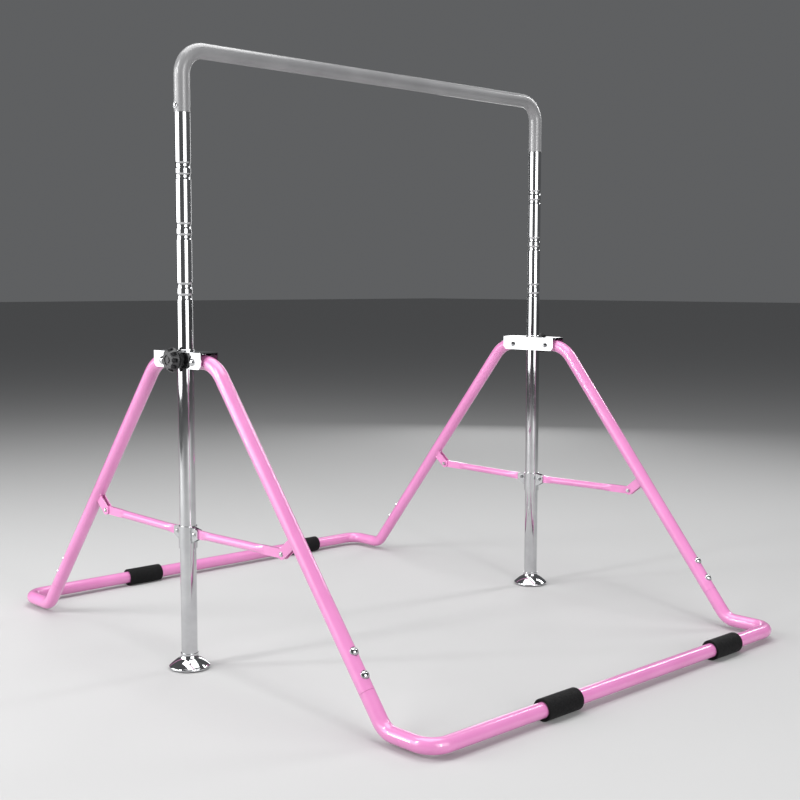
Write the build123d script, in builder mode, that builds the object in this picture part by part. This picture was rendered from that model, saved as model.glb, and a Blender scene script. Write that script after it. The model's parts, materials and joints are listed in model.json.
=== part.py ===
from build123d import *
from math import atan, cos, hypot, sin, sqrt
import os

# Folding kip bar: a grey high bar on two chrome telescopic posts, held up by two pink folding leg frames.
#
# X runs along the bar, -Y is the front and +Z is up. The origin is on the floor, midway between the posts.
# All sizes are in millimetres.

os.makedirs("parts", exist_ok=True)

SIDES = {"left": -1, "right": 1}
ENDS = {"front": -1, "rear": 1}

# Overall layout
POST_X = 634.0  # half the distance between the posts
BAR_Z = 1480.0  # axis of the high bar at its top setting
RAIL_Y = 836.7  # half the distance between the floor rails
RAIL_Z = 25.0  # axis of the floor rails

# Tubes
BAR_OD, BAR_WALL = 38.0, 1.45
UPPER_OD, UPPER_WALL = 37.3, 1.5
LOWER_OD, LOWER_ID = 39.3, 37.5
LEG_OD, LEG_WALL = 35.0, 1.5
BRACE_OD, BRACE_WALL = 20.0, 1.5
SLIDE_GAP = 0.1  # radial clearance where one piece enters another

# High bar and its joint to the posts
BAR_BEND = 60.0
BAR_SEAM_Z = 1333.0
BAR_BOLT_Z = 1348.0
BAR_SPIGOT = 60.0
BAR_BOLT_HEAD_D = 12.0

# Telescopic posts
UPPER_FOOT_Z = 600.0
GROOVE_PAIR_ZS = (915.0, 1056.0, 1197.0)  # middle of each pair of rolled grooves
GROOVE_PITCH, GROOVE_WIDTH, GROOVE_DEPTH = 26.0, 15.0, 1.7
LOWER_FOOT_Z = 8.0
RING_OD, RING_HEIGHT, RING_CHAMFER = 43.0, 4.0, 1.2

# Bracket: a channel that opens downwards
BRACKET_TOP_Z, BRACKET_HEIGHT = 773.0, 40.0
BRACKET_WIDTH, BRACKET_HALF_LENGTH, BRACKET_PLATE = 50.0, 98.4, 2.5
BRACKET_CORNER = 9.0

# Leg frames
PIVOT_Y, PIVOT_Z = 64.0, 749.0
LEG_SLOPE = 0.8048  # run in Y for each unit of drop in Z
LEG_FLOOR_Y = 723.75  # where the leg's axis would meet the floor
LEG_TILT = atan(LEG_SLOPE)
LEG_TOP_BEND, LEG_FOOT_BEND, RAIL_CORNER_BEND = 95.0, 50.0, 45.0
LEG_INNER_END = 10.0  # how far the leg runs inboard of its pivot
LEG_SEAM_Z, LEG_SEAM_GAP = 94.0, 0.8  # the open seam between a leg and the floor rail's end
LEG_BOLT_ZS = (119.0, 161.0)
LEG_BOLT_HEAD_D = 18.0
LEG_SPIGOT, SPIGOT_ID = 105.0, 28.8
PIVOT_BOLT_D, PIVOT_SLEEVE_D, PIVOT_HEAD_D = 8.0, 16.0, 19.0
PIVOT_NUT_WIDTH, PIVOT_NUT_HEIGHT = 13.0, 8.0

# Folding braces
COLLAR_PIN_Y, COLLAR_PIN_Z = 36.0, 335.0
CLEVIS_PIN_Y, CLEVIS_PIN_Z = 373.0, 340.5
BRACE_LENGTH = hypot(CLEVIS_PIN_Y - COLLAR_PIN_Y, CLEVIS_PIN_Z - COLLAR_PIN_Z)
TAB_THICKNESS, TAB_HEIGHT = 7.6, 21.0
COLLAR_TAB, CLEVIS_TAB, TAPER = 22.0, 64.0, 30.0  # lengths of the flattened ends, and of their tapers
PIN_D, PIN_HEAD_D, PIN_HEAD_HEIGHT = 6.0, 10.0, 4.0
NUT_WIDTH, NUT_HEIGHT = 10.0, 5.0
CHEEK_INNER, CHEEK_OUTER = 4.2, 7.2  # faces of the brace clevises, measured from their middle plane
# The cheeks are this wide, and reach from the pin square to the leg's axis.
CHEEK_WIDTH = 25.0
CHEEK_REACH = (LEG_FLOOR_Y - LEG_SLOPE * CLEVIS_PIN_Z - CLEVIS_PIN_Y) * cos(LEG_TILT)
COLLAR_OD, COLLAR_BORE, COLLAR_SPLIT = 45.0, 39.44, 0.6
COLLAR_ABOVE, COLLAR_BELOW = 16.0, 38.0  # reach of the collar above and below its pins
EAR_REACH, EAR_HEIGHT, EAR_CORNER = 50.0, 23.0, 4.0
GUSSET_ABOVE, GUSSET_BELOW = 15.0, 24.0  # where the ears' sloping edges meet the collar's barrel

# Feet, sleeves and post locks
FOOT_D, FOOT_RIM_Z, FOOT_NECK_Z = 101.0, 5.0, 38.0
PAD_D, PAD_LIP_Z, PAD_TOP_Z = 92.0, 1.6, 6.0
SLEEVE_OD = 50.0
SLEEVE_SPANS = {"left": (-302.0, -187.0), "right": (343.0, 455.0)}  # start and end along X
LOCK_Z = 753.0
KNOB_FACE_D, KNOB_RIM_D, KNOB_RIM, KNOB_THICKNESS = 46.0, 60.0, 2.5, 15.0
KNOB_TEETH, FLUTE_D, FLUTE_PITCH_D = 10, 10.5, 50.0
HUB_STEPS = ((22.0, 3.0), (19.5, 3.0), (17.0, 5.0))  # radius and length of each step, from the plate out
INSERT_D, INSERT_LENGTH = 16.0, 9.0
SPINDLE_NOSE, SPINDLE_LENGTH = 18.95, 26.0
SPINDLE_D, SPINDLE_SLIDE_GAP = 10.0, 0.3


def save(piece, name):
    """Label one finished piece and write its STEP file."""
    piece.label = name
    export_step(piece, f"parts/{name}.step")


def leg_y(z):
    """Distance of the leg's axis from the middle plane at height z."""
    return LEG_FLOOR_Y - LEG_SLOPE * z


def bent_tube(points, radii, outer_radius, inner_radius):
    """A tube along straight runs joined by arcs."""
    with BuildPart() as tube:
        with BuildLine() as route:
            FilletPolyline(*points, radius=radii)
        with BuildSketch(Plane(route.line @ 0, z_dir=route.line % 0)):
            Circle(outer_radius)
            Circle(inner_radius, mode=Mode.SUBTRACT)
        sweep(path=route.line)
    return tube.part


def straight_tube(plane, outer_radius, inner_radius, length):
    """A tube, or a rod where the inner radius is 0, from the plane along its +Z."""
    with BuildPart() as tube:
        with BuildSketch(plane):
            Circle(outer_radius)
            if inner_radius > 0:
                Circle(inner_radius, mode=Mode.SUBTRACT)
        extrude(amount=length)
    return tube.part


def dome_bolt(plane, head_d, head_height, shank_d, shank_length):
    """A button-head bolt with a thin flange: the head stands on the plane, the shank runs down from it."""
    flange_height = 1.0
    rise = head_height - flange_height
    dome_radius = ((head_d / 2) ** 2 + rise**2) / (2 * rise)
    shoulder = head_height - dome_radius + sqrt(dome_radius**2 - (head_d / 4) ** 2)
    with BuildPart() as bolt:
        with BuildSketch(Plane(plane.origin, x_dir=plane.x_dir, z_dir=-plane.y_dir)):
            with BuildLine():
                Polyline(
                    (0, head_height),
                    (0, -shank_length),
                    (shank_d / 2, -shank_length),
                    (shank_d / 2, 0),
                    (head_d / 2 + 1, 0),
                    (head_d / 2 + 1, flange_height),
                    (head_d / 2, flange_height),
                )
                ThreePointArc((head_d / 2, flange_height), (head_d / 4, shoulder), (0, head_height))
            make_face()
        revolve(axis=Axis(plane.origin, plane.z_dir))
    return bolt.part


def tube_bolt(plane, tube_radius, head_d, head_height, shank_d, shank_end):
    """A button-head bolt seated on a round tube by a saddle.

    The plane's origin is on the tube's axis, its Y runs along the tube and its Z out through the bolt.
    """
    seat = tube_radius + 0.3
    cap = dome_bolt(plane.offset(seat), head_d, head_height, shank_d, seat - shank_end)
    with BuildPart() as bolt:
        with BuildSketch(plane.offset(tube_radius / 2)):
            Circle(head_d / 2 + 1)
        extrude(amount=seat - tube_radius / 2)
        with BuildSketch(Plane(plane.origin, x_dir=plane.x_dir, z_dir=plane.y_dir)):
            Circle(tube_radius)
        extrude(amount=head_d, both=True, mode=Mode.SUBTRACT)
        add(cap)
    return bolt.part


def hex_nut(plane, width, height, bore_d):
    """A hexagon nut standing on the plane."""
    with BuildPart() as nut:
        with BuildSketch(plane):
            RegularPolygon(width / 2, 6, major_radius=False)
            Circle(bore_d / 2, mode=Mode.SUBTRACT)
        extrude(amount=height)
    return nut.part


def bar_plane(x, y, z, direction):
    """A plane at a point whose normal runs along the bar, towards +X or -X."""
    return Plane((x, y, z), x_dir=(0, 1, 0), z_dir=(direction, 0, 0))


def leg_plane(side, end, z):
    """A plane on a leg's axis at height z: Z points out of the leg's upper face and Y runs up the leg."""
    outward = Vector(0, end * cos(LEG_TILT), sin(LEG_TILT))
    up = Vector(0, -end * sin(LEG_TILT), cos(LEG_TILT))
    return Plane((side * POST_X, end * leg_y(z), z), x_dir=up.cross(outward), z_dir=outward)


def leg_section(side, end, z):
    """The plane of a leg's cross-section at height z, with Z up along the leg."""
    face = leg_plane(side, end, z)
    return Plane(face.origin, x_dir=face.x_dir, z_dir=face.y_dir)


def brace_side(side, end):
    """A brace's middle plane: the origin is on its collar pin and X runs to its clevis pin."""
    to_clevis = (0, end * (CLEVIS_PIN_Y - COLLAR_PIN_Y), CLEVIS_PIN_Z - COLLAR_PIN_Z)
    return Plane((side * POST_X, end * COLLAR_PIN_Y, COLLAR_PIN_Z), x_dir=to_clevis, z_dir=(1, 0, 0))


def brace_section(side, end, distance):
    """The plane of a brace's cross-section, this far from its collar pin: X runs along the bar."""
    middle = brace_side(side, end)
    return Plane(middle.origin + middle.x_dir * distance, x_dir=(1, 0, 0), z_dir=middle.x_dir)


def upright_profile(side):
    """The plane for profiles turned about a post's axis: X is the radius and Y the height."""
    return Plane((side * POST_X, 0, 0), x_dir=(1, 0, 0), z_dir=(0, -1, 0))


# ------------------------------------------------------------------ high bar and upper posts

bar_route = [
    (-POST_X, 0, BAR_SEAM_Z),
    (-POST_X, 0, BAR_Z),
    (POST_X, 0, BAR_Z),
    (POST_X, 0, BAR_SEAM_Z),
]
bar_tube = bent_tube(bar_route, [BAR_BEND, BAR_BEND], BAR_OD / 2, BAR_OD / 2 - BAR_WALL)
with BuildPart() as top_bar:
    add(bar_tube)
    for side in SIDES.values():
        with BuildSketch(bar_plane(side * POST_X, 0, BAR_BOLT_Z, side)):
            Circle(PIN_D / 2 + SLIDE_GAP)
        extrude(amount=BAR_OD, mode=Mode.SUBTRACT)
save(top_bar.part, "top_bar")


groove_zs = [z + step * GROOVE_PITCH / 2 for z in GROOVE_PAIR_ZS for step in (-1, 1)]

for side_name, side in SIDES.items():
    outer, inner = UPPER_OD / 2, UPPER_OD / 2 - UPPER_WALL
    spigot = BAR_OD / 2 - BAR_WALL - SLIDE_GAP
    with BuildPart() as upper_post:
        with BuildSketch(upright_profile(side)):
            with BuildLine():
                start = UPPER_FOOT_Z
                for z in groove_zs:
                    low, high = z - GROOVE_WIDTH / 2, z + GROOVE_WIDTH / 2
                    Line((outer, start), (outer, low))
                    ThreePointArc((outer, low), (outer - GROOVE_DEPTH, z), (outer, high))
                    start = high
                Polyline(
                    (outer, start),
                    (outer, BAR_SEAM_Z - 1),
                    (outer - 0.6, BAR_SEAM_Z - 0.1),
                    (spigot, BAR_SEAM_Z - 0.1),
                    (spigot, BAR_SEAM_Z + BAR_SPIGOT),
                    (spigot - UPPER_WALL, BAR_SEAM_Z + BAR_SPIGOT),
                    (spigot - UPPER_WALL, BAR_SEAM_Z - 1),
                    (inner, BAR_SEAM_Z - 4),
                )
                start = BAR_SEAM_Z - 4
                for z in reversed(groove_zs):
                    low, high = z - GROOVE_WIDTH / 2, z + GROOVE_WIDTH / 2
                    Line((inner, start), (inner, high))
                    ThreePointArc((inner, high), (inner - GROOVE_DEPTH, z), (inner, low))
                    start = low
                Polyline((inner, start), (inner, UPPER_FOOT_Z), (outer, UPPER_FOOT_Z))
            make_face()
        revolve(axis=Axis((side * POST_X, 0, 0), (0, 0, 1)))
        with BuildSketch(bar_plane(side * POST_X, 0, BAR_BOLT_Z, side)):
            Circle(PIN_D / 2 + SLIDE_GAP)
        extrude(amount=BAR_OD, mode=Mode.SUBTRACT)
    save(upper_post.part, f"{side_name}_upper_post")

    # The end plug keeps the upper post centred in the lower one.
    with BuildPart() as post_plug:
        with BuildSketch(Plane((side * POST_X, 0, UPPER_FOOT_Z))):
            Circle(UPPER_OD / 2)
            Circle(10, mode=Mode.SUBTRACT)
        extrude(amount=-6)
        with BuildSketch(Plane((side * POST_X, 0, UPPER_FOOT_Z))):
            Circle(inner - SLIDE_GAP / 2)
            Circle(10, mode=Mode.SUBTRACT)
        extrude(amount=30)
    save(post_plug.part, f"{side_name}_post_plug")

bar_bolt_set = []
for side in SIDES.values():
    bar_bolt_plane = Plane((side * POST_X, 0, BAR_BOLT_Z), x_dir=(0, -side, 0), z_dir=(side, 0, 0))
    bar_bolt_set.append(tube_bolt(bar_bolt_plane, BAR_OD / 2, BAR_BOLT_HEAD_D, 4.0, PIN_D, 9.0))
save(Compound(children=bar_bolt_set), "bar_bolts")

# ------------------------------------------------------------------ lower posts, feet and brackets

for side_name, side in SIDES.items():
    x = side * POST_X

    with BuildPart() as lower_post:
        with BuildSketch(Plane((x, 0, LOWER_FOOT_Z))):
            Circle(LOWER_OD / 2)
            Circle(LOWER_ID / 2, mode=Mode.SUBTRACT)
        extrude(amount=BRACKET_TOP_Z - LOWER_FOOT_Z)
        with BuildSketch(bar_plane(x, 0, LOCK_Z, side)):
            Circle(SPINDLE_D / 2 + SPINDLE_SLIDE_GAP)
        extrude(amount=LOWER_OD, mode=Mode.SUBTRACT)
    save(lower_post.part, f"{side_name}_lower_post")

    with BuildPart() as post_ring:
        with BuildSketch(Plane((x, 0, BRACKET_TOP_Z))):
            Circle(RING_OD / 2)
            Circle(LOWER_ID / 2, mode=Mode.SUBTRACT)
        extrude(amount=RING_HEIGHT)
        chamfer(post_ring.faces().sort_by(Axis.Z)[-1].outer_wire().edges(), RING_CHAMFER)
    save(post_ring.part, f"{side_name}_post_ring")

    with BuildPart() as foot:
        with BuildSketch(upright_profile(side)):
            with BuildLine():
                rim = FOOT_D / 2
                neck = LOWER_OD / 2 + 1.6
                Line((PAD_D / 2, PAD_LIP_Z), (rim - 0.8, PAD_LIP_Z + 0.8))
                ThreePointArc((rim - 0.8, PAD_LIP_Z + 0.8), (rim, FOOT_RIM_Z), (rim - 2.0, FOOT_RIM_Z + 3.6))
                ThreePointArc((rim - 2.0, FOOT_RIM_Z + 3.6), (rim - 14.5, 19.0), (rim - 26.2, 26.0))
                ThreePointArc((rim - 26.2, 26.0), (neck + 0.9, 30.4), (neck, FOOT_NECK_Z))
                Polyline((neck, FOOT_NECK_Z), (LOWER_OD / 2, FOOT_NECK_Z), (LOWER_OD / 2, 24.0), (23.5, 23.2))
                ThreePointArc((23.5, 23.2), (34.6, 16.8), (PAD_D / 2, 7.4))
                Line((PAD_D / 2, 7.4), (PAD_D / 2, PAD_LIP_Z))
            make_face()
        revolve(axis=Axis((x, 0, 0), (0, 0, 1)))
    save(foot.part, f"{side_name}_foot")

    with BuildPart() as foot_pad:
        with BuildSketch(Plane((x, 0, 0))):
            Circle(PAD_D / 2 - 1.6)
        extrude(amount=PAD_LIP_Z)
        with BuildSketch(Plane((x, 0, PAD_LIP_Z))):
            Circle(PAD_D / 2)
        extrude(amount=PAD_TOP_Z - PAD_LIP_Z)
        with BuildSketch(Plane((x, 0, PAD_TOP_Z))):
            Circle(30)
        extrude(amount=LOWER_FOOT_Z - PAD_TOP_Z)
    save(foot_pad.part, f"{side_name}_foot_pad")

    web_bottom = BRACKET_TOP_Z - BRACKET_PLATE
    with BuildPart() as bracket:
        with BuildSketch(Plane((x, 0, BRACKET_TOP_Z))):
            Rectangle(BRACKET_WIDTH, 2 * BRACKET_HALF_LENGTH)
        extrude(amount=-BRACKET_HEIGHT)
        with BuildSketch(Plane((x, 0, web_bottom))):
            Rectangle(BRACKET_WIDTH - 2 * BRACKET_PLATE, 2 * BRACKET_HALF_LENGTH)
        extrude(amount=-BRACKET_HEIGHT, mode=Mode.SUBTRACT)
        chamfer(bracket.edges().filter_by(Axis.X).group_by(Axis.Z)[0], BRACKET_CORNER)
        fillet(bracket.edges().filter_by(Axis.Y).group_by(Axis.Z)[-1], 2.0)
        with BuildSketch(Plane((x, 0, BRACKET_TOP_Z))):
            Circle(LOWER_OD / 2)
        extrude(amount=-2 * BRACKET_PLATE, mode=Mode.SUBTRACT)
        with BuildSketch(bar_plane(x, 0, 0, 1)):
            with Locations((-PIVOT_Y, PIVOT_Z), (PIVOT_Y, PIVOT_Z)):
                Circle(PIVOT_BOLT_D / 2 + SLIDE_GAP)
        extrude(amount=BRACKET_WIDTH, both=True, mode=Mode.SUBTRACT)
        with BuildSketch(bar_plane(x, 0, LOCK_Z, side)):
            Circle(SPINDLE_D / 2 + SPINDLE_SLIDE_GAP)
        extrude(amount=BRACKET_WIDTH, mode=Mode.SUBTRACT)
    save(bracket.part, f"{side_name}_bracket")

    bolt_pieces = []
    for end in ENDS.values():
        head_x = x + side * BRACKET_WIDTH / 2
        nut_x = x - side * BRACKET_WIDTH / 2
        head_plane = bar_plane(head_x, end * PIVOT_Y, PIVOT_Z, side)
        shank = BRACKET_WIDTH + PIVOT_NUT_HEIGHT + 2
        bolt_pieces.append(dome_bolt(head_plane, PIVOT_HEAD_D, 6.0, PIVOT_BOLT_D, shank))
        nut_plane = bar_plane(nut_x, end * PIVOT_Y, PIVOT_Z, -side)
        bolt_pieces.append(hex_nut(nut_plane, PIVOT_NUT_WIDTH, PIVOT_NUT_HEIGHT, PIVOT_BOLT_D))
    pivot_bolts = Compound(children=bolt_pieces)
    save(pivot_bolts, f"{side_name}_pivot_bolts")

# ------------------------------------------------------------------ folding leg frames

for end_name, end in ENDS.items():
    leg_bolts = []
    clevis_bolts = []
    for side_name, side in SIDES.items():
        x = side * POST_X
        leg_end_z = LEG_SEAM_Z + LEG_SEAM_GAP * cos(LEG_TILT)

        leg_route = [
            (x, end * (PIVOT_Y - LEG_INNER_END), PIVOT_Z),
            (x, end * leg_y(PIVOT_Z), PIVOT_Z),
            (x, end * leg_y(leg_end_z), leg_end_z),
        ]
        leg_tube = bent_tube(leg_route, [LEG_TOP_BEND], LEG_OD / 2, LEG_OD / 2 - LEG_WALL)
        with BuildPart() as leg:
            add(leg_tube)
            with BuildSketch(bar_plane(x, end * PIVOT_Y, PIVOT_Z, 1)):
                Circle(PIVOT_SLEEVE_D / 2)
            extrude(amount=BRACKET_WIDTH / 2 - BRACKET_PLATE - 0.3, both=True)
            with BuildSketch(bar_plane(x, end * PIVOT_Y, PIVOT_Z, 1)):
                Circle(PIVOT_BOLT_D / 2 + SLIDE_GAP)
            extrude(amount=BRACKET_WIDTH, both=True, mode=Mode.SUBTRACT)
            for z in LEG_BOLT_ZS:
                with BuildSketch(leg_plane(side, end, z)):
                    Circle(4 + SLIDE_GAP)
                extrude(amount=LEG_OD, mode=Mode.SUBTRACT)
        save(leg.part, f"{end_name}_{side_name}_leg")

        for z in LEG_BOLT_ZS:
            leg_bolts.append(tube_bolt(leg_plane(side, end, z), LEG_OD / 2, LEG_BOLT_HEAD_D, 6.0, 8.0, 4.0))

        # The clevis is two cheeks welded square to the leg, each rounded about the pin.
        pin_y = end * CLEVIS_PIN_Y
        pin_plane = bar_plane(x, pin_y, CLEVIS_PIN_Z, 1)
        cheek_plane = Plane(pin_plane.origin, x_dir=leg_plane(side, end, 0).z_dir, z_dir=(1, 0, 0))
        with BuildPart() as clevis:
            with BuildSketch(cheek_plane):
                Circle(CHEEK_WIDTH / 2)
                with Locations((CHEEK_REACH / 2, 0)):
                    Rectangle(CHEEK_REACH, CHEEK_WIDTH)
            extrude(amount=CHEEK_OUTER, both=True)
            with BuildSketch(cheek_plane):
                Rectangle(3 * CHEEK_REACH, 2 * CHEEK_WIDTH)
            extrude(amount=CHEEK_INNER, both=True, mode=Mode.SUBTRACT)
            with BuildSketch(leg_section(side, end, CLEVIS_PIN_Z)):
                Circle(LEG_OD / 2)
            extrude(amount=2 * LEG_OD, both=True, mode=Mode.SUBTRACT)
            with BuildSketch(pin_plane):
                Circle(PIN_D / 2)
            extrude(amount=BRACKET_WIDTH, both=True, mode=Mode.SUBTRACT)
        save(clevis.part, f"{end_name}_{side_name}_clevis")

        # Only the ends of the clevis bolt are here: its middle rides in the brace as the brace pin.
        stub = CHEEK_OUTER - CHEEK_INNER - SLIDE_GAP
        head_plane = bar_plane(x + side * CHEEK_OUTER, pin_y, CLEVIS_PIN_Z, side)
        nut_plane = bar_plane(x - side * CHEEK_OUTER, pin_y, CLEVIS_PIN_Z, -side)
        clevis_bolts.append(dome_bolt(head_plane, PIN_HEAD_D, PIN_HEAD_HEIGHT, PIN_D, stub))
        clevis_bolts.append(hex_nut(nut_plane, NUT_WIDTH, NUT_HEIGHT, PIN_D))
        clevis_bolts.append(straight_tube(nut_plane.offset(-stub), PIN_D / 2, 0, stub + NUT_HEIGHT + 2))

        # The folding brace is a tube with both ends pressed flat.
        middle = brace_side(side, end)
        flat_ends = (COLLAR_TAB, BRACE_LENGTH - CLEVIS_TAB)
        tube_start, tube_end = COLLAR_TAB + TAPER, BRACE_LENGTH - CLEVIS_TAB - TAPER
        with BuildPart() as brace:
            with BuildSketch(middle):
                for pin, flat_end in zip((0, BRACE_LENGTH), flat_ends):
                    with Locations((pin, 0)):
                        Circle(TAB_HEIGHT / 2)
                    with Locations(((pin + flat_end) / 2, 0)):
                        Rectangle(abs(flat_end - pin), TAB_HEIGHT)
            extrude(amount=TAB_THICKNESS / 2, both=True)
            for flat_end, round_end in zip(flat_ends, (tube_start, tube_end)):
                with BuildSketch(brace_section(side, end, flat_end)):
                    Rectangle(TAB_THICKNESS, TAB_HEIGHT)
                with BuildSketch(brace_section(side, end, round_end)):
                    Circle(BRACE_OD / 2)
                loft()
            with BuildSketch(brace_section(side, end, tube_start)):
                Circle(BRACE_OD / 2)
                Circle(BRACE_OD / 2 - BRACE_WALL, mode=Mode.SUBTRACT)
            extrude(amount=tube_end - tube_start)
            with BuildSketch(middle):
                Circle(PIN_D / 2 + SLIDE_GAP)
                with Locations((BRACE_LENGTH, 0)):
                    Circle(PIN_D / 2)
            extrude(amount=BRACE_OD, both=True, mode=Mode.SUBTRACT)
        save(brace.part, f"{end_name}_{side_name}_brace")

        pin_half = TAB_THICKNESS / 2 + SLIDE_GAP
        brace_pin = straight_tube(pin_plane.offset(-pin_half), PIN_D / 2, 0, 2 * pin_half)
        save(brace_pin, f"{end_name}_{side_name}_brace_pin")

        sleeve_start, sleeve_end = SLEEVE_SPANS[side_name]
        with BuildPart() as sleeve:
            with BuildSketch(bar_plane(sleeve_start, end * RAIL_Y, RAIL_Z, 1)):
                Circle(SLEEVE_OD / 2)
                Circle(LEG_OD / 2, mode=Mode.SUBTRACT)
            extrude(amount=sleeve_end - sleeve_start)
            fillet(sleeve.edges().filter_by(GeomType.CIRCLE).group_by(SortBy.RADIUS)[-1], 2.0)
        save(sleeve.part, f"{end_name}_{side_name}_sleeve")

    save(Compound(children=leg_bolts), f"{end_name}_leg_bolts")
    save(Compound(children=clevis_bolts), f"{end_name}_clevis_bolts")

    base_route = [
        (-POST_X, end * leg_y(LEG_SEAM_Z), LEG_SEAM_Z),
        (-POST_X, end * leg_y(RAIL_Z), RAIL_Z),
        (-POST_X, end * RAIL_Y, RAIL_Z),
        (POST_X, end * RAIL_Y, RAIL_Z),
        (POST_X, end * leg_y(RAIL_Z), RAIL_Z),
        (POST_X, end * leg_y(LEG_SEAM_Z), LEG_SEAM_Z),
    ]
    base_bends = [LEG_FOOT_BEND, RAIL_CORNER_BEND, RAIL_CORNER_BEND, LEG_FOOT_BEND]
    rail = bent_tube(base_route, base_bends, LEG_OD / 2, LEG_OD / 2 - LEG_WALL)
    with BuildPart() as base_tube:
        add(rail)
        for side in SIDES.values():
            # Each spigot is welded into the rail's end on a short shoulder and runs up inside the leg.
            seam = leg_section(side, end, LEG_SEAM_Z)
            with BuildSketch(seam.offset(-4)):
                Circle(LEG_OD / 2 - LEG_WALL / 2)
                Circle(SPIGOT_ID / 2, mode=Mode.SUBTRACT)
            extrude(amount=4 - SLIDE_GAP)
            with BuildSketch(seam.offset(-4)):
                Circle(LEG_OD / 2 - LEG_WALL - SLIDE_GAP)
                Circle(SPIGOT_ID / 2, mode=Mode.SUBTRACT)
            extrude(amount=LEG_SPIGOT + 4)
            for z in LEG_BOLT_ZS:
                with BuildSketch(leg_plane(side, end, z)):
                    Circle(4 + SLIDE_GAP)
                extrude(amount=LEG_OD, mode=Mode.SUBTRACT)
    save(base_tube.part, f"{end_name}_base_tube")

# ------------------------------------------------------------------ brace collars

for side_name, side in SIDES.items():
    x = side * POST_X

    for half_name, direction in (("outer", side), ("inner", -side)):
        with BuildPart() as collar:
            with BuildSketch(Plane((x, 0, COLLAR_PIN_Z - COLLAR_BELOW))):
                Circle(COLLAR_OD / 2)
                with Locations((-direction * (COLLAR_OD - COLLAR_SPLIT) / 2, 0)):
                    Rectangle(COLLAR_OD, 2 * COLLAR_OD, mode=Mode.SUBTRACT)
            extrude(amount=COLLAR_BELOW + COLLAR_ABOVE)
            with BuildSketch(bar_plane(x + direction * CHEEK_INNER, 0, COLLAR_PIN_Z, 1)):
                RectangleRounded(2 * EAR_REACH, EAR_HEIGHT, EAR_CORNER)
                ear_y, barrel_y = EAR_REACH - EAR_CORNER, COLLAR_OD / 2
                for edge, gusset in ((EAR_HEIGHT / 2, GUSSET_ABOVE), (-EAR_HEIGHT / 2, -GUSSET_BELOW)):
                    with BuildLine():
                        Polyline((-ear_y, edge), (-barrel_y, gusset), (barrel_y, gusset), (ear_y, edge), close=True)
                    make_face()
            extrude(amount=direction * (CHEEK_OUTER - CHEEK_INNER))
            with BuildSketch(Plane((x, 0, COLLAR_PIN_Z - COLLAR_BELOW))):
                Circle(COLLAR_BORE / 2)
            extrude(amount=COLLAR_BELOW + COLLAR_ABOVE, mode=Mode.SUBTRACT)
            with BuildSketch(bar_plane(x, 0, COLLAR_PIN_Z, 1)):
                with Locations((-COLLAR_PIN_Y, 0), (COLLAR_PIN_Y, 0)):
                    Circle(PIN_D / 2)
            extrude(amount=COLLAR_OD, both=True, mode=Mode.SUBTRACT)
        save(collar.part, f"{side_name}_collar_{half_name}")

    collar_bolts = []
    for end in ENDS.values():
        head_plane = bar_plane(x + side * CHEEK_OUTER, end * COLLAR_PIN_Y, COLLAR_PIN_Z, side)
        nut_plane = bar_plane(x - side * CHEEK_OUTER, end * COLLAR_PIN_Y, COLLAR_PIN_Z, -side)
        shank = 2 * CHEEK_OUTER + NUT_HEIGHT + 2
        collar_bolts.append(dome_bolt(head_plane, PIN_HEAD_D, PIN_HEAD_HEIGHT, PIN_D, shank))
        collar_bolts.append(hex_nut(nut_plane, NUT_WIDTH, NUT_HEIGHT, PIN_D))
    save(Compound(children=collar_bolts), f"{side_name}_collar_bolts")

# ------------------------------------------------------------------ post locks

for side_name, side in SIDES.items():
    plate = bar_plane(side * (POST_X + BRACKET_WIDTH / 2), 0, LOCK_Z, side)
    hub_length = sum(length for radius, length in HUB_STEPS)

    with BuildPart() as lock_hub:
        start = 0
        for radius, length in HUB_STEPS:
            with BuildSketch(plate.offset(start)):
                Circle(radius)
            extrude(amount=length)
            start += length
        with BuildSketch(plate):
            Circle(INSERT_D / 2)
        extrude(amount=INSERT_LENGTH, mode=Mode.SUBTRACT)
        with BuildSketch(plate):
            Circle(SPINDLE_D / 2 + SPINDLE_SLIDE_GAP)
        extrude(amount=hub_length, mode=Mode.SUBTRACT)
    save(lock_hub.part, f"{side_name}_lock_hub")

    lock_insert = straight_tube(plate, INSERT_D / 2, SPINDLE_D / 2 + SLIDE_GAP, INSERT_LENGTH)
    save(lock_insert, f"{side_name}_lock_insert")

    spindle_plane = bar_plane(side * (POST_X + SPINDLE_NOSE), 0, LOCK_Z, side)
    lock_spindle = straight_tube(spindle_plane, SPINDLE_D / 2, 0, SPINDLE_LENGTH)
    save(lock_spindle, f"{side_name}_lock_spindle")

    knob_face = plate.offset(hub_length + 1)
    spindle_depth = SPINDLE_NOSE + SPINDLE_LENGTH - BRACKET_WIDTH / 2 - hub_length - 1
    with BuildPart() as lock_knob:
        with BuildSketch(knob_face):
            Circle(KNOB_RIM_D / 2)
        with BuildSketch(knob_face.offset(KNOB_THICKNESS)):
            Circle(KNOB_FACE_D / 2)
        loft()
        with BuildSketch(knob_face.offset(KNOB_RIM)):
            with PolarLocations(FLUTE_PITCH_D / 2, KNOB_TEETH):
                Circle(FLUTE_D / 2)
        extrude(amount=KNOB_THICKNESS, mode=Mode.SUBTRACT)
        with BuildSketch(knob_face.offset(KNOB_THICKNESS)):
            Circle(12)
            Circle(7, mode=Mode.SUBTRACT)
        extrude(amount=-2, mode=Mode.SUBTRACT)
        with BuildSketch(knob_face):
            Circle(SPINDLE_D / 2 + SLIDE_GAP / 2)
        extrude(amount=spindle_depth + 0.5, mode=Mode.SUBTRACT)
    save(lock_knob.part, f"{side_name}_lock_knob")
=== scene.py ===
"""Kip bar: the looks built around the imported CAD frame. Metres, +Z up, -Y the front."""
import json
import math

import bpy
from mathutils import Matrix, Vector


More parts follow.
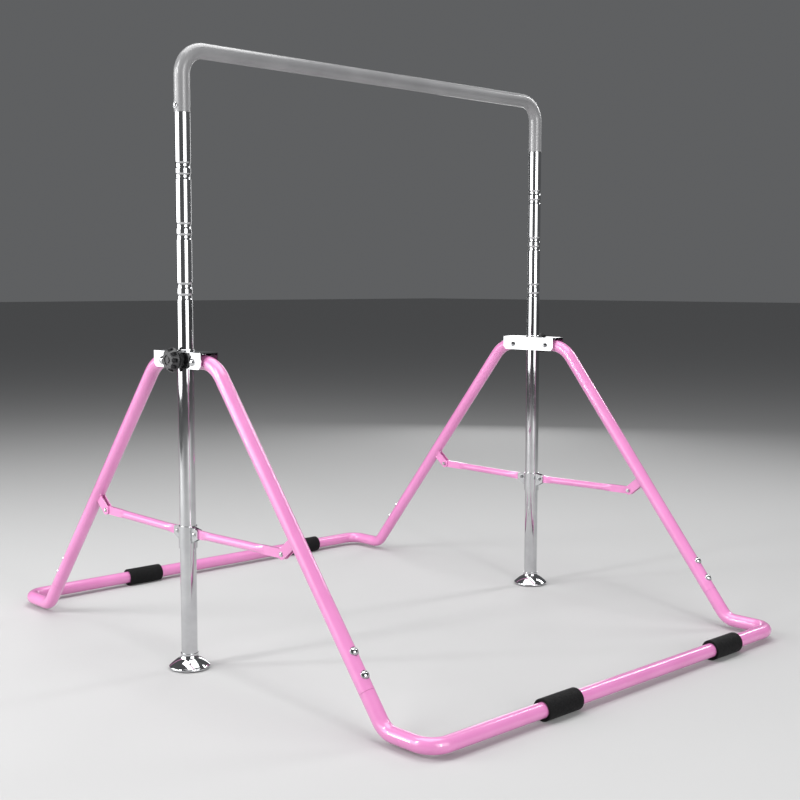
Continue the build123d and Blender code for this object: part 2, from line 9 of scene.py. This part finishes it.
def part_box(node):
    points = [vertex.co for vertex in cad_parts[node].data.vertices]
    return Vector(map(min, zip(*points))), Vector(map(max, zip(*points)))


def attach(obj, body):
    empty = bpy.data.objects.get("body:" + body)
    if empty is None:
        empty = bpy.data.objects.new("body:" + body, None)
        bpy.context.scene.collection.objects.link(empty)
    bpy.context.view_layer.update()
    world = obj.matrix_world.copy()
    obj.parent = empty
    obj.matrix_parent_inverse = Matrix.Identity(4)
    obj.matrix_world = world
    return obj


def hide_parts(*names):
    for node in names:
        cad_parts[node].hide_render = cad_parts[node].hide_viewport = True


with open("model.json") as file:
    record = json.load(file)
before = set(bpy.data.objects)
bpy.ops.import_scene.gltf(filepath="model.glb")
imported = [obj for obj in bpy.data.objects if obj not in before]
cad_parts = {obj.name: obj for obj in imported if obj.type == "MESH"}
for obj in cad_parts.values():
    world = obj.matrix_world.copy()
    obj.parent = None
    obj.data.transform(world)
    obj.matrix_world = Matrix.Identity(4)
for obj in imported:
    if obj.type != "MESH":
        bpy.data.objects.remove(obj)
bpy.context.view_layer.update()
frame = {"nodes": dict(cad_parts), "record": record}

NODES = frame["nodes"]
SIDES = {"left": -1, "right": 1}
ENDS = {"front": -1, "rear": 1}
MM = 0.001


# ------------------------------------------------------------------ materials

NOISE_LOW, NOISE_HIGH = 0.3, 0.7  # most of a noise texture falls between these
PLAIN_SPECULAR = 0.5
SHEEN_ROUGHNESS = 0.5

# The scale and the detail of each noise texture.
COAT_DRIFT, COAT_PATCHES, COAT_PEEL = (7.0, 3.0), (60.0, 3.0), (420.0, 2.0)
METAL_CLOUD, METAL_PATCHES, METAL_LINES = (30.0, 4.0), (90.0, 4.0), (700.0, 2.0)
MOULDED_COLOUR_DETAIL, MOULDED_PATCH_DETAIL, MOULDED_GRAIN_DETAIL = 4.0, 2.0, 6.0
MOULDED_COLOUR_SHARE, MOULDED_PATCH_SHARE = 1 / 4, 1 / 10  # of the grain's scale

COAT_DEPTH, METAL_DEPTH, MOULDED_DEPTH = 0.4 * MM, 0.2 * MM, 0.6 * MM  # of the bumps


def shader(name):
    """A new material: its nodes, its links and its Principled shader."""
    mat = bpy.data.materials.new(name)
    mat.use_nodes = True
    nodes, links = mat.node_tree.nodes, mat.node_tree.links
    return mat, nodes, links, nodes["Principled BSDF"]


def noise(nodes, links, scale, detail, stretch=None):
    """A noise texture in the object's own coordinates; stretch scales its three axes."""
    coords = nodes.new("ShaderNodeTexCoord")
    texture = nodes.new("ShaderNodeTexNoise")
    texture.inputs["Scale"].default_value = scale
    texture.inputs["Detail"].default_value = detail
    source = coords.outputs["Object"]
    if stretch:
        mapping = nodes.new("ShaderNodeMapping")
        mapping.inputs["Scale"].default_value = stretch
        links.new(source, mapping.inputs["Vector"])
        source = mapping.outputs["Vector"]
    links.new(source, texture.inputs["Vector"])
    return texture.outputs["Fac"]


def ramp(nodes, links, source, low, high):
    """A colour ramp between two colours, driven by source."""
    node = nodes.new("ShaderNodeValToRGB")
    node.color_ramp.elements[0].position = NOISE_LOW
    node.color_ramp.elements[1].position = NOISE_HIGH
    node.color_ramp.elements[0].color = (*low, 1)
    node.color_ramp.elements[1].color = (*high, 1)
    links.new(source, node.inputs["Fac"])
    return node.outputs["Color"]


def spread(nodes, links, source, low, high):
    """Source remapped to run from low to high."""
    node = nodes.new("ShaderNodeMapRange")
    node.inputs["From Min"].default_value = NOISE_LOW
    node.inputs["From Max"].default_value = NOISE_HIGH
    node.inputs["To Min"].default_value = low
    node.inputs["To Max"].default_value = high
    links.new(source, node.inputs["Value"])
    return node.outputs["Result"]


def bump(nodes, links, source, strength, depth, bsdf):
    """A bump from source on the shader's normal."""
    node = nodes.new("ShaderNodeBump")
    node.inputs["Strength"].default_value = strength
    node.inputs["Distance"].default_value = depth
    links.new(source, node.inputs["Height"])
    links.new(node.outputs["Normal"], bsdf.inputs["Normal"])


def powder_coat(name, low, high, roughness, peel, coat, coat_roughness):
    """A coated tube: slow drift of colour, orange peel and a clear top."""
    mat, nodes, links, bsdf = shader(name)
    drift = noise(nodes, links, *COAT_DRIFT)
    patches = noise(nodes, links, *COAT_PATCHES)
    links.new(ramp(nodes, links, drift, low, high), bsdf.inputs["Base Color"])
    links.new(spread(nodes, links, patches, *roughness), bsdf.inputs["Roughness"])
    bump(nodes, links, noise(nodes, links, *COAT_PEEL), peel, COAT_DEPTH, bsdf)
    bsdf.inputs["Coat Weight"].default_value = coat
    bsdf.inputs["Coat Roughness"].default_value = coat_roughness
    bsdf.inputs["Specular IOR Level"].default_value = PLAIN_SPECULAR
    return mat


def bright_metal(name, low, high, roughness, scratch, stretch):
    """A plated metal: faint cloudiness and fine polishing lines along the piece."""
    mat, nodes, links, bsdf = shader(name)
    cloud = noise(nodes, links, *METAL_CLOUD)
    patches = noise(nodes, links, *METAL_PATCHES)
    bsdf.inputs["Metallic"].default_value = 1.0
    links.new(ramp(nodes, links, cloud, low, high), bsdf.inputs["Base Color"])
    links.new(spread(nodes, links, patches, *roughness), bsdf.inputs["Roughness"])
    bump(nodes, links, noise(nodes, links, *METAL_LINES, stretch), scratch, METAL_DEPTH, bsdf)
    return mat


def moulded(name, low, high, roughness, grain, scale, sheen=0.0, specular=PLAIN_SPECULAR):
    """A moulded or foamed black piece with a fine grain."""
    mat, nodes, links, bsdf = shader(name)
    colour = noise(nodes, links, scale * MOULDED_COLOUR_SHARE, MOULDED_COLOUR_DETAIL)
    patches = noise(nodes, links, scale * MOULDED_PATCH_SHARE, MOULDED_PATCH_DETAIL)
    links.new(ramp(nodes, links, colour, low, high), bsdf.inputs["Base Color"])
    links.new(spread(nodes, links, patches, *roughness), bsdf.inputs["Roughness"])
    bump(nodes, links, noise(nodes, links, scale, MOULDED_GRAIN_DETAIL), grain, MOULDED_DEPTH, bsdf)
    bsdf.inputs["Sheen Weight"].default_value = sheen
    bsdf.inputs["Sheen Roughness"].default_value = SHEEN_ROUGHNESS
    bsdf.inputs["Specular IOR Level"].default_value = specular
    return mat


# The pink, the grey and the chrome are darker than the record's base colours. They were set by comparing
# renders with the photo under this studio's lights.
PINK = powder_coat(
    "pink_powder_coat",
    low=(0.66, 0.21, 0.465),
    high=(0.73, 0.25, 0.53),
    roughness=(0.30, 0.40),
    peel=0.06,
    coat=0.9,
    coat_roughness=0.07,
)
GREY = powder_coat(
    "grey_satin_coat",
    low=(0.195, 0.195, 0.20),
    high=(0.245, 0.245, 0.25),
    roughness=(0.34, 0.44),
    peel=0.12,
    coat=0.7,
    coat_roughness=0.16,
)
CHROME = bright_metal(
    "mirror_chrome",
    low=(0.56, 0.565, 0.575),
    high=(0.64, 0.645, 0.655),
    roughness=(0.04, 0.08),
    scratch=0.02,
    stretch=(1, 1, 0.02),
)
ZINC = bright_metal(
    "zinc_plate",
    low=(0.50, 0.51, 0.52),
    high=(0.66, 0.66, 0.66),
    roughness=(0.20, 0.34),
    scratch=0.12,
    stretch=(1, 1, 1),
)
RUBBER = moulded(
    "black_rubber",
    low=(0.012, 0.012, 0.012),
    high=(0.025, 0.025, 0.025),
    roughness=(0.60, 0.80),
    grain=0.25,
    scale=900.0,
)
PLASTIC = moulded(
    "black_plastic",
    low=(0.022, 0.022, 0.023),
    high=(0.036, 0.036, 0.038),
    roughness=(0.30, 0.46),
    grain=0.12,
    scale=1400.0,
)
NYLON = moulded(
    "white_nylon",
    low=(0.62, 0.61, 0.57),
    high=(0.70, 0.69, 0.65),
    roughness=(0.35, 0.50),
    grain=0.08,
    scale=900.0,
)
FOAM = moulded(
    "charcoal_foam",
    low=(0.003, 0.003, 0.0033),
    high=(0.009, 0.009, 0.0095),
    roughness=(0.60, 0.80),
    grain=0.45,
    scale=1500.0,
    sheen=0.03,
    specular=0.12,
)

SLOT_MATERIALS = {
    "pink": PINK,
    "grey_bar": GREY,
    "chrome": CHROME,
    "zinc": ZINC,
    "black_rubber": RUBBER,
    "black_plastic": PLASTIC,
    "white_plastic": NYLON,
    "foam": FOAM,
}

for part in frame["record"]["subparts"]:
    node = NODES[part["node"]]
    node.data.materials.clear()
    node.data.materials.append(SLOT_MATERIALS[part["material_slot"]])


# ------------------------------------------------------------------ mesh helpers

def new_piece(name, verts, faces, material, body):
    """A smooth mesh piece riding on a body."""
    mesh = bpy.data.meshes.new(name)
    mesh.from_pydata(verts, [], faces)
    mesh.validate()
    obj = bpy.data.objects.new(name, mesh)
    bpy.context.scene.collection.objects.link(obj)
    mesh.materials.append(material)
    mesh.shade_smooth()
    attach(obj, body)
    return obj


def lathe_along_x(profile, centre, segments):
    """Vertices and faces of a closed (radius, position) profile turned about a line along X."""
    verts, faces = [], []
    count = len(profile)
    for turn in range(segments):
        angle = 2 * math.pi * turn / segments
        spoke = Vector((0, math.cos(angle), math.sin(angle)))
        for radius, position in profile:
            verts.append(centre + Vector((position, 0, 0)) + spoke * radius)
    for turn in range(segments):
        here, there = turn * count, ((turn + 1) % segments) * count
        for index in range(count):
            step = (index + 1) % count
            faces.append((here + index, here + step, there + step, there + index))
    return verts, faces


# ------------------------------------------------------------------ softened edges

BEVELS = {  # how wide the worn edge is on the sharp-edged pieces
    "bracket": 0.7 * MM,
    "clevis": 0.6 * MM,
    "collar_outer": 0.6 * MM,
    "collar_inner": 0.6 * MM,
    "lock_knob": 0.6 * MM,
    "lock_hub": 0.5 * MM,
    "pivot_bolts": 0.4 * MM,
    "clevis_bolts": 0.3 * MM,
    "collar_bolts": 0.3 * MM,
    "brace": 0.5 * MM,
}
BEVEL_SEGMENTS = 2
BEVEL_ANGLE = math.radians(40)  # an edge sharper than this is worn

for node_name, node in NODES.items():
    for ending, width in BEVELS.items():
        if node_name.endswith(ending):
            bevel = node.modifiers.new("worn_edge", "BEVEL")
            bevel.width = width
            bevel.segments = BEVEL_SEGMENTS
            bevel.limit_method = "ANGLE"
            bevel.angle_limit = BEVEL_ANGLE
            bevel.harden_normals = True


# ------------------------------------------------------------------ foam sleeves

LEG_RADIUS = 17.5 * MM  # also the radius of the floor rails
SLEEVE_SEGMENTS = 128
SLEEVE_LIP, SLEEVE_LIP_STEPS = 2.2 * MM, 7  # radius of the rounded shoulder, and the steps round it
SLEEVE_SETBACKS = (14.0 * MM, 2.8 * MM)  # two rings on the straight wall, measured from the sleeve's end
SLEEVE_END_FLAT = 1.6 * MM
SLEEVE_MOUTH = (  # how far each ring of the mouth is outside the bore, and how deep in the end
    (2.0 * MM, 1.6 * MM),
    (0.5 * MM, 3.0 * MM),
    (0.0 * MM, 4.0 * MM),
)

for end_name in ENDS:
    for side_name in SIDES:
        node = f"{end_name}_{side_name}_sleeve"
        low, high = (Vector(corner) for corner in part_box(node))
        outer = (high.z - low.z) / 2
        half_length = (high.x - low.x) / 2
        half = [(outer, half_length - setback) for setback in SLEEVE_SETBACKS]
        for step in range(1, SLEEVE_LIP_STEPS + 1):
            angle = math.radians(90 * step / SLEEVE_LIP_STEPS)
            shoulder = outer - SLEEVE_LIP + SLEEVE_LIP * math.cos(angle)
            half.append((shoulder, half_length - SLEEVE_LIP + SLEEVE_LIP * math.sin(angle)))
        half.append((outer - SLEEVE_LIP - SLEEVE_END_FLAT, half_length))
        half += [(LEG_RADIUS + outside, half_length - depth) for outside, depth in SLEEVE_MOUTH]
        profile = [(radius, -position) for radius, position in reversed(half)] + half
        verts, faces = lathe_along_x(profile, (low + high) / 2, SLEEVE_SEGMENTS)
        piece = new_piece(
            f"{end_name}_{side_name}_foam_sleeve", verts, faces, FOAM, f"{end_name}_frame"
        )
        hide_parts(node)


# ------------------------------------------------------------------ welds

LEG_SLOPE = 0.8048  # run in Y for each unit of drop in Z, on every leg
LEG_TILT = math.atan(LEG_SLOPE)
LEG_FLOOR_Y = 723.75 * MM  # where a leg's axis would meet the floor
CLEVIS_PIN = (373.0 * MM, 340.5 * MM)  # distance from the middle plane, and height
WELD_HALF_WIDTH, WELD_HALF_LENGTH = 8.0 * MM, 13.2 * MM  # just outside the clevis's two cheeks
WELD_RADIUS = 1.5 * MM
WELD_SQUARENESS = 6  # the loop is a superellipse of this power
WELD_STEPS, WELD_SIDES = 192, 10
WELD_RIPPLES, WELD_RIPPLE_SHARE = 34, 0.14  # count round the loop, and share of the radius


def weld_loop(side, end):
    """Points and surface normals round the foot of a clevis, on the leg's round lower face."""
    pin_y, pin_z = CLEVIS_PIN
    outward = Vector((0, end * math.cos(LEG_TILT), math.sin(LEG_TILT)))
    along = Vector((0, -end * math.sin(LEG_TILT), math.cos(LEG_TILT)))
    reach = (LEG_FLOOR_Y - LEG_SLOPE * pin_z - pin_y) * math.cos(LEG_TILT)
    post_low, post_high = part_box("right_lower_post")
    post_x = (post_low[0] + post_high[0]) / 2
    on_axis = Vector((side * post_x, end * pin_y, pin_z)) + outward * reach
    points, normals = [], []
    for step in range(WELD_STEPS):
        turn = 2 * math.pi * step / WELD_STEPS
        corner = abs(math.cos(turn)) ** WELD_SQUARENESS + abs(math.sin(turn)) ** WELD_SQUARENESS
        stretch = corner ** (-1 / WELD_SQUARENESS)
        across = WELD_HALF_WIDTH * math.cos(turn) * stretch
        lengthwise = WELD_HALF_LENGTH * math.sin(turn) * stretch
        normal = Vector((across, 0, 0)) - outward * math.sqrt(LEG_RADIUS**2 - across**2)
        points.append(on_axis + normal + along * lengthwise)
        normals.append(normal.normalized())
    return points, normals


def bead_mesh(points, normals):
    """Vertices and faces of a rippled bead laid along a closed loop of points."""
    verts, faces = [], []
    for step in range(WELD_STEPS):
        tangent = (points[(step + 1) % WELD_STEPS] - points[step - 1]).normalized()
        across = tangent.cross(normals[step]).normalized()
        ripple = math.sin(2 * math.pi * WELD_RIPPLES * step / WELD_STEPS)
        radius = WELD_RADIUS * (1 + WELD_RIPPLE_SHARE * ripple)
        for turn in range(WELD_SIDES):
            angle = 2 * math.pi * turn / WELD_SIDES
            spoke = normals[step] * math.cos(angle) + across * math.sin(angle)
            verts.append(points[step] + spoke * radius)
    for step in range(WELD_STEPS):
        here, there = step * WELD_SIDES, ((step + 1) % WELD_STEPS) * WELD_SIDES
        for turn in range(WELD_SIDES):
            beside = (turn + 1) % WELD_SIDES
            faces.append((here + turn, here + beside, there + beside, there + turn))
    return verts, faces


for end_name, end in ENDS.items():
    for side_name, side in SIDES.items():
        verts, faces = bead_mesh(*weld_loop(side, end))
        new_piece(f"{end_name}_{side_name}_clevis_weld", verts, faces, PINK, f"{end_name}_frame")


# ------------------------------------------------------------------ studio

FLOOR_REACH = 60.0
FLOOR_COLOUR, FLOOR_ROUGHNESS = (0.50, 0.50, 0.50, 1), 0.9
SKY_COLOUR, SKY_STRENGTH = (0.95, 0.97, 1.0, 1), 0.12

corners = [(x * FLOOR_REACH, y * FLOOR_REACH, 0) for x, y in ((-1, -1), (1, -1), (1, 1), (-1, 1))]
floor_mesh = bpy.data.meshes.new("floor")
floor_mesh.from_pydata(corners, [], [(0, 1, 2, 3)])
floor = bpy.data.objects.new("floor", floor_mesh)
bpy.context.scene.collection.objects.link(floor)
floor_mat, _, _, floor_bsdf = shader("floor")
floor_bsdf.inputs["Base Color"].default_value = FLOOR_COLOUR
floor_bsdf.inputs["Roughness"].default_value = FLOOR_ROUGHNESS
floor_mesh.materials.append(floor_mat)

world = bpy.data.worlds.new("studio")
world.use_nodes = True
world.node_tree.nodes["Background"].inputs["Color"].default_value = SKY_COLOUR
world.node_tree.nodes["Background"].inputs["Strength"].default_value = SKY_STRENGTH
bpy.context.scene.world = world
bpy.context.scene.view_settings.view_transform = "Standard"


def softbox(name, azimuth, distance, height, size, aim, brightness):
    """A soft panel standing round the object and facing its middle, hidden from the camera.

    Azimuth is in degrees from +X towards +Y, aim is the height that it faces, and brightness is its radiance.
    """
    light = bpy.data.lights.new(name, "AREA")
    light.shape = "RECTANGLE"
    light.size, light.size_y = size
    light.energy = brightness * math.pi * size[0] * size[1]
    obj = bpy.data.objects.new(name, light)
    turn = math.radians(azimuth)
    obj.location = (distance * math.cos(turn), distance * math.sin(turn), height)
    obj.rotation_euler = (Vector((0, 0, aim)) - obj.location).to_track_quat("-Z", "Y").to_euler()
    obj.visible_camera = False
    bpy.context.scene.collection.objects.link(obj)


softbox("left_panel", 152, 4.2, 1.65, (5.2, 2.7), 0.9, 2.9)
softbox("front_panel", -98, 4.6, 1.75, (3.6, 2.9), 0.8, 3.1)
softbox("back_strip", 38, 4.6, 1.8, (0.9, 2.7), 0.9, 2.6)
softbox("top_panel", 90, 0.3, 4.0, (3.2, 3.2), 0.7, 3.8)
softbox("left_core", 150, 4.05, 1.65, (0.28, 2.3), 0.9, 24.0)
softbox("front_core", -104, 4.45, 1.75, (0.28, 2.4), 0.8, 20.0)
softbox("left_streak", 172, 3.3, 2.75, (0.35, 1.6), 0.7, 24.0)
softbox("right_streak", -8, 3.3, 2.75, (0.35, 1.6), 0.7, 18.0)

# The camera's place, direction and lens were solved from the axes of the tubes in the photo.
CAMERA_PLACE = (-2.31393, -2.52128, 0.93044)
CAMERA_FORWARD, CAMERA_RIGHT = (0.68426, 0.72348, -0.09147), (0.72662, -0.68703, 0.00164)
CAMERA_SENSOR, CAMERA_LENS = 36.0, 56.365

camera_data = bpy.data.cameras.new("camera")
camera_data.sensor_width = CAMERA_SENSOR
camera_data.lens = CAMERA_LENS
camera = bpy.data.objects.new("camera", camera_data)
forward = Vector(CAMERA_FORWARD).normalized()
right = Vector(CAMERA_RIGHT).normalized()
up = right.cross(forward).normalized()
facing = Matrix((right, up, -forward)).transposed()
camera.matrix_world = Matrix.Translation(CAMERA_PLACE) @ facing.to_4x4()
bpy.context.scene.collection.objects.link(camera)
bpy.context.scene.camera = camera
